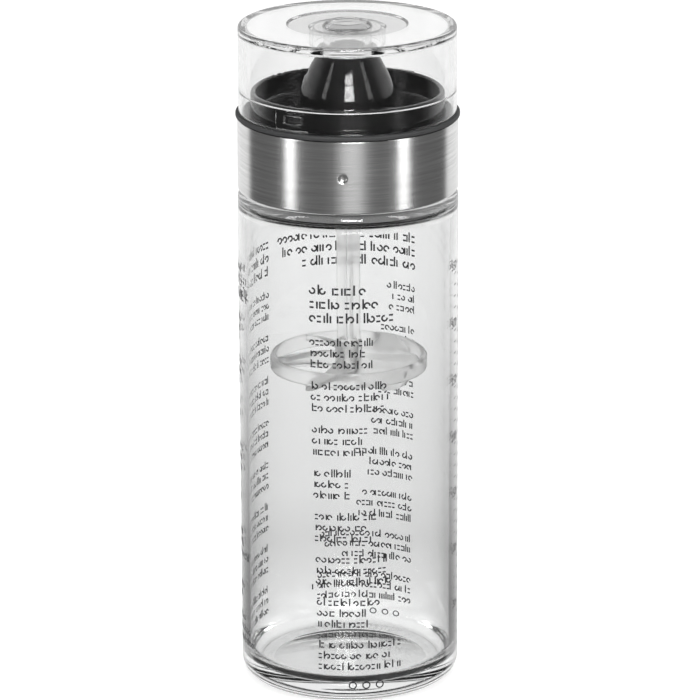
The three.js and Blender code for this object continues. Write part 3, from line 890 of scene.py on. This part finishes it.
def add_stroke(marks, start, points, width, closed=False):
    """Adds one stroke to the marks: a thin closed strip along flat points, bent round the glass."""
    vertices, faces = marks
    first = len(vertices)
    count = len(points)
    for i, point in enumerate(points):
        before = points[i - 1] if closed or i else point
        after = points[(i + 1) % count] if closed or i < count - 1 else point
        along = (Vector(after) - Vector(before)).normalized()
        across = Vector((-along.y, along.x)) * width / 2
        for side in (Vector(point) + across, Vector(point) - across):
            angle = start + side.x / BOTTLE_RADIUS
            for radius in (BOTTLE_RADIUS - PRINT_ROOT, BOTTLE_RADIUS + PRINT_SKIN):
                vertices.append((radius * math.cos(angle), radius * math.sin(angle), side.y))
    for i in range(count if closed else count - 1):
        a = first + 4 * i
        b = first + 4 * ((i + 1) % count)
        faces += [(a + 1, b + 1, b + 3, a + 3), (a, a + 2, b + 2, b)]
        faces += [(a, b, b + 1, a + 1), (a + 2, a + 3, b + 3, b + 2)]
    if not closed:
        last = first + 4 * (count - 1)
        faces += [(first, first + 1, first + 3, first + 2), (last, last + 2, last + 3, last + 1)]


def arc_points(centre, radius, start, sweep, steps):
    """Flat points along an arc; start and sweep are in degrees."""
    angles = [math.radians(start + sweep * i / steps) for i in range(steps + 1)]
    return [(centre[0] + radius * math.cos(a), centre[1] + radius * math.sin(a)) for a in angles]


def add_mark(marks, rng, start, left, low, height):
    """Adds one mark of a line and gives its width: a bar, a tall bar, an open arc or two dashes."""
    width = STROKE_WIDTH * height
    kind = rng.random()
    if kind < BAR_OR_TALL_CHANCE:
        top = low + height * (1 if kind < BAR_CHANCE else TALL_BAR)
        middle = left + width
        add_stroke(marks, start, [(middle, low), (middle, top)], width)
        return BAR_ADVANCE * height
    if kind < BAR_OR_ARC_CHANCE:
        radius = height / 2 - width / 2
        first = 45 + 90 * rng.randrange(4) + ARC_HALF_OPENING
        centre = (left + radius, low + height / 2)
        points = arc_points(centre, radius, first, 360 - 2 * ARC_HALF_OPENING, ARC_MARK_STEPS)
        add_stroke(marks, start, points, width)
        return ARC_ADVANCE * height
    for level in (low + width / 2, low + height - width / 2):
        add_stroke(marks, start, [(left, level), (left + DASH_LENGTH * height, level)], width)
    return DASH_ADVANCE * height


def add_line(marks, rng, start, low, length, height):
    """Adds groups of marks with gaps between them, up to a length."""
    left = 0
    while left < length:
        for _ in range(rng.randint(*MARKS_IN_WORD)):
            if left < length:
                left += add_mark(marks, rng, start, left, low, height)
        left += WORD_GAP * height


def column_marks(marks, seed, direction, headings, lengths):
    """A column of the print: heading lines, then groups of lines."""
    rng = random.Random(seed)
    start = direction_angle(direction)
    for level, length in zip(HEADING_HEIGHTS, headings):
        add_line(marks, rng, start, level - HEADING_TEXT_HEIGHT / 2, length * MM, HEADING_TEXT_HEIGHT)
    for group, length in enumerate(lengths):
        for line in range(LINES_IN_GROUP):
            level = GROUP_TOP - group * GROUP_STEP - line * LINE_STEP - TEXT_HEIGHT / 2
            indent = start + group * GROUP_INDENT / BOTTLE_RADIUS
            stretch = rng.uniform(*LENGTH_SPREAD)
            add_line(marks, rng, indent, level, length * MM * stretch, TEXT_HEIGHT)


def ring_marks(marks, direction):
    """A row of small rings near the foot of the glass."""
    points = arc_points((0, RING_MARK_HEIGHT), RING_MARK_RADIUS, 0, 360, RING_MARK_POINTS)[:-1]
    for i in range(RING_MARK_COUNT):
        start = direction_angle(direction + i * RING_MARK_STEP)
        add_stroke(marks, start, points, RING_MARK_WIDTH, closed=True)


def add_number(marks, number, right, middle):
    """Adds a plain number that ends at an angle, its middle at a height."""
    curve = bpy.data.curves.new("number", "FONT")
    curve.body = str(number)
    curve.align_x = "RIGHT"
    curve.size = NUMBER_HEIGHT / DIGIT_SHARE
    curve.extrude = 1
    curve.resolution_u = DIGIT_CURVE_STEPS
    flat = bpy.data.objects.new("number", curve)
    bpy.context.scene.collection.objects.link(flat)
    graph = bpy.context.evaluated_depsgraph_get()
    mesh = bpy.data.meshes.new_from_object(flat.evaluated_get(graph))
    work = bmesh.new()
    work.from_mesh(mesh)
    bmesh.ops.remove_doubles(work, verts=work.verts, dist=WELD_DISTANCE)
    bmesh.ops.triangulate(work, faces=work.faces)
    work.verts.index_update()
    vertices, faces = marks
    first = len(vertices)
    for vertex in work.verts:
        angle = direction_angle(right) + vertex.co.x / BOTTLE_RADIUS
        radius = BOTTLE_RADIUS + (PRINT_SKIN if vertex.co.z > 0 else -PRINT_ROOT)
        height = middle - NUMBER_HEIGHT / 2 + vertex.co.y
        vertices.append((radius * math.cos(angle), radius * math.sin(angle), height))
    faces += [tuple(first + v.index for v in face.verts) for face in work.faces]
    work.free()
    bpy.data.objects.remove(flat)
    bpy.data.meshes.remove(mesh)


def scale_marks(marks):
    """Graduation: a number and a long stroke at each step, and short strokes between."""
    start = direction_angle(SCALE_ANGLE)
    for tick in range(1, SCALE_COUNT * TICKS_A_STEP + 1):
        level = SCALE_ZERO + tick * SCALE_STEP / TICKS_A_STEP
        left = SHORT_TICK_LEFT if tick % TICKS_A_STEP else 0
        add_stroke(marks, start, [(left, level), (TICK_RIGHT, level)], TICK_WIDTH)
    for step in range(1, SCALE_COUNT + 1):
        level = SCALE_ZERO + step * SCALE_STEP
        add_number(marks, SCALE_UNIT * step, SCALE_ANGLE - NUMBER_OFFSET, level)


def finish_print(name, marks):
    piece = mesh_object(name, *marks, INK)
    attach(piece, "bottle")


def make_print():
    for name, column in COLUMNS.items():
        marks = ([], [])
        column_marks(marks, *column)
        if name in RING_MARKS:
            ring_marks(marks, RING_MARKS[name])
        finish_print(name, marks)
    scale = ([], [])
    scale_marks(scale)
    finish_print("print_graduation", scale)


make_print()


# Studio: white floor, white surroundings behind, dark room at the sides, lamps in front
FLOOR_SIZE = 6
FLOOR_ROUGHNESS = 0.6
FLOOR_COLOUR = (0.82, 0.82, 0.82)
FLOOR_MIRRORED_COLOUR = (0.06, 0.06, 0.06)
FILL_LIGHT = 0.5
FLOOR_GLOW = 0.55
FLOOR_GLOW_IN_GLASS = (
    (0, 0.65), (0.04, 0.6), (0.075, 0.28), (0.12, 0.15), (0.17, 0.27),
    (0.27, 0.34), (0.36, 0.42), (0.48, 0.49), (0.56, 0.5),
)
FLOOR_FAR = 0.7
FLOOR_FAR_EDGE = (0.48, 0.56)
FLOOR_BRIGHT_TO = 0.1
FLOOR_DARK_FROM = 0.6
FLOOR_FRONT = 0.05
FLOOR_BACK = 0.36
DEPTH_SPLIT = 0.5
ROOM_DARK = 0.15
ROOM_ABOVE = 0.05
ROOM_IN_GLASS = 0.04
BACK_BRIGHT = 0.97
BACK_EDGE = (0.46, 0.62)
ABOVE_EDGE = (-0.1, 0.2)
GLASS_BACK_EDGE = (-0.2, 0.3)
IN_FRONT = -0.1
PANEL_BRIGHT = 21
PANEL_LEFT = -0.125
PANEL_RIGHT = 0.29
PANEL_LOW = 0.28
PANEL_HIGH = 0.66
PANEL_DISTANCE = 2
PANEL_MIDDLE = 1.2
PANEL_HEIGHT = 1.1

# Strip lights: direction in degrees right of the camera, distance, width
STRIPS = {"left_strip": (-60.5, 0.95, 0.185), "right_strip": (58.3, 0.95, 0.205)}
STRIP_MIDDLE = 0.72
STRIP_HEIGHT = 1.36
STRIP_BRIGHT = 7.5
STRIP_SEEN = 2.5
TOP_BOX_MIDDLE = 1.4
TOP_BOX_SIZE = 0.9
TOP_BOX_BRIGHT = 0.9
GLASS_BOUNCES = 32
MIRROR_BOUNCES = 12


def glow_pool(tree, reach):
    """Glow of the floor seen through glass, by the distance from the bottle."""
    pool = tree.nodes.new("ShaderNodeValToRGB")
    stops = pool.color_ramp.elements
    while len(stops) < len(FLOOR_GLOW_IN_GLASS):
        stops.new(0.5)
    for stop, (distance, value) in zip(stops, FLOOR_GLOW_IN_GLASS):
        stop.position = distance / FLOOR_FAR
        stop.color = (value, value, value, 1)
    tree.links.new(ramp(tree, reach, 0, 1, 0, FLOOR_FAR), pool.inputs[0])
    return pool.outputs["Color"]


def make_floor():
    """White floor that glows to the camera and through glass, and is dark in mirrored rays."""
    half = FLOOR_SIZE / 2
    corners = [(-half, -half, 0), (half, -half, 0), (half, half, 0), (-half, half, 0)]
    mesh = bpy.data.meshes.new("floor")
    mesh.from_pydata(corners, [], [(0, 1, 2, 3)])
    floor = bpy.data.objects.new("floor", mesh)
    bpy.context.scene.collection.objects.link(floor)
    material, tree, shader = new_material("white_floor")
    shader.inputs["Roughness"].default_value = FLOOR_ROUGHNESS
    rays = tree.nodes.new("ShaderNodeLightPath").outputs
    place, parts = split_place(tree)
    reach = length_of(tree, place)
    aside = calculate(tree, "MINIMUM", *[calculate(tree, "ABSOLUTE", parts[axis]) for axis in "XY"])
    middle = ramp(tree, aside, 1, 0, FLOOR_BRIGHT_TO, FLOOR_DARK_FROM)
    far = ramp(tree, reach, 0, 1, *FLOOR_FAR_EDGE)
    mirrored = calculate(tree, "GREATER_THAN", rays["Glossy Depth"], DEPTH_SPLIT)
    front = ramp(tree, parts["Y"], 1, 0, FLOOR_FRONT, FLOOR_BACK)
    dark = calculate(tree, "MULTIPLY", mirrored, front)
    lit = calculate(tree, "SUBTRACT", calculate(tree, "MAXIMUM", middle, far), dark, clamp=True)
    through = calculate(tree, "MULTIPLY", lit, rays["Is Transmission Ray"])
    in_glass = calculate(tree, "MULTIPLY", through, glow_pool(tree, reach))
    direct = calculate(tree, "MULTIPLY", rays["Is Camera Ray"], FLOOR_GLOW)
    shader.inputs["Emission Color"].default_value = (1, 1, 1, 1)
    tree.links.new(calculate(tree, "MAXIMUM", direct, in_glass), shader.inputs["Emission Strength"])
    grey = colour_between(tree, dark, FLOOR_COLOUR, FLOOR_MIRRORED_COLOUR)
    tree.links.new(grey, shader.inputs["Base Color"])
    mesh.materials.append(material)
    floor.visible_glossy = False


def make_world():
    """White straight ahead, an even fill for matte parts, a dark room with lamps in reflections."""
    world = bpy.data.worlds.new("studio")
    bpy.context.scene.world = world
    world.use_nodes = True
    tree = world.node_tree
    tree.nodes.clear()
    out = tree.nodes.new("ShaderNodeOutputWorld")
    rays = tree.nodes.new("ShaderNodeLightPath").outputs
    _, parts = split_place(tree, "Generated")

    def background(strength):
        """White background; its strength is a number or an output."""
        node = tree.nodes.new("ShaderNodeBackground")
        node.inputs["Color"].default_value = (1, 1, 1, 1)
        if isinstance(strength, (int, float)):
            node.inputs["Strength"].default_value = strength
        else:
            tree.links.new(strength, node.inputs["Strength"])
        return node.outputs[0]

    def choose(factor, first, second):
        """First shader where the factor is 0, second where it is 1."""
        node = tree.nodes.new("ShaderNodeMixShader")
        for place, source in enumerate((factor, first, second)):
            tree.links.new(source, node.inputs[place])
        return node.outputs[0]

    def product(*factors):
        result = factors[0]
        for factor in factors[1:]:
            result = calculate(tree, "MULTIPLY", result, factor)
        return result

    def above(source, limit):
        return calculate(tree, "GREATER_THAN", source, limit)

    def below(source, limit):
        return calculate(tree, "LESS_THAN", source, limit)

    behind = ramp(tree, parts["Y"], 0, BACK_BRIGHT, *BACK_EDGE, smooth=True)
    overhead = ramp(tree, parts["Z"], ROOM_DARK, ROOM_ABOVE, *ABOVE_EDGE, smooth=True)
    room = calculate(tree, "MAXIMUM", behind, overhead)
    seen = calculate(tree, "MAXIMUM", rays["Is Camera Ray"], rays["Is Transmission Ray"])
    open_view = product(seen, below(rays["Glossy Depth"], DEPTH_SPLIT))
    in_front = product(below(parts["Y"], IN_FRONT), below(rays["Diffuse Depth"], DEPTH_SPLIT))
    raised = product(above(parts["Z"], PANEL_LOW), below(parts["Z"], PANEL_HIGH), in_front)
    across = calculate(tree, "DIVIDE", parts["X"], calculate(tree, "MULTIPLY", parts["Y"], -1))

    def light(left, right, strength):
        """Strength of a lamp in front, between two slopes X / -Y of the ray's direction."""
        return product(above(across, left), below(across, right), raised, strength)

    strength = ramp(tree, parts["Y"], ROOM_IN_GLASS, BACK_BRIGHT, *GLASS_BACK_EDGE, smooth=True)
    lamps = [light(PANEL_LEFT, PANEL_RIGHT, PANEL_BRIGHT)]
    for azimuth, distance, width in STRIPS.values():
        half = math.degrees(math.atan(width / 2 / distance))
        slopes = [math.tan(math.radians(azimuth + side * half)) for side in (-1, 1)]
        lamps.append(light(*slopes, STRIP_SEEN))
    for lamp in lamps:
        strength = calculate(tree, "MAXIMUM", strength, lamp)
    room_seen = choose(rays["Is Transmission Ray"], background(room), background(strength))
    mirrored = above(rays["Glossy Depth"], DEPTH_SPLIT)
    lit = choose(mirrored, background(FILL_LIGHT), room_seen)
    tree.links.new(choose(open_view, lit, background(1)), out.inputs[0])


def softbox(name, azimuth, distance, middle, width, height, radiance):
    """Rectangular lamp that faces the object's axis; azimuth is degrees right of the camera."""
    data = bpy.data.lights.new(name, "AREA")
    data.shape = "RECTANGLE"
    data.size = width
    data.size_y = height
    data.energy = radiance * math.pi * width * height
    lamp = bpy.data.objects.new(name, data)
    bpy.context.scene.collection.objects.link(lamp)
    angle = math.radians(azimuth)
    outward = Vector((math.sin(angle), -math.cos(angle), 0))
    lamp.location = outward * distance + Vector((0, 0, middle))
    lamp.rotation_euler = (-outward).to_track_quat("-Z", "Y").to_euler()
    lamp.visible_camera = False
    return lamp


def make_lamps():
    for name, (azimuth, distance, width) in STRIPS.items():
        strip = softbox(name, azimuth, distance, STRIP_MIDDLE, width, STRIP_HEIGHT, STRIP_BRIGHT)
        strip.visible_transmission = False
    width = (PANEL_RIGHT - PANEL_LEFT) * PANEL_DISTANCE
    front = softbox("front_panel", 0, PANEL_DISTANCE, PANEL_MIDDLE, width, PANEL_HEIGHT, PANEL_BRIGHT)
    front.location.x = (PANEL_RIGHT + PANEL_LEFT) / 2 * PANEL_DISTANCE
    front.visible_diffuse = False
    front.visible_transmission = False
    top = softbox("top_box", 0, 0, TOP_BOX_MIDDLE, TOP_BOX_SIZE, TOP_BOX_SIZE, TOP_BOX_BRIGHT)
    top.rotation_euler = (0, 0, 0)
    top.visible_glossy = False


make_floor()
make_world()
make_lamps()

scene = bpy.context.scene
scene.view_settings.view_transform = "Standard"
scene.cycles.max_bounces = GLASS_BOUNCES
scene.cycles.transmission_bounces = GLASS_BOUNCES
scene.cycles.glossy_bounces = MIRROR_BOUNCES
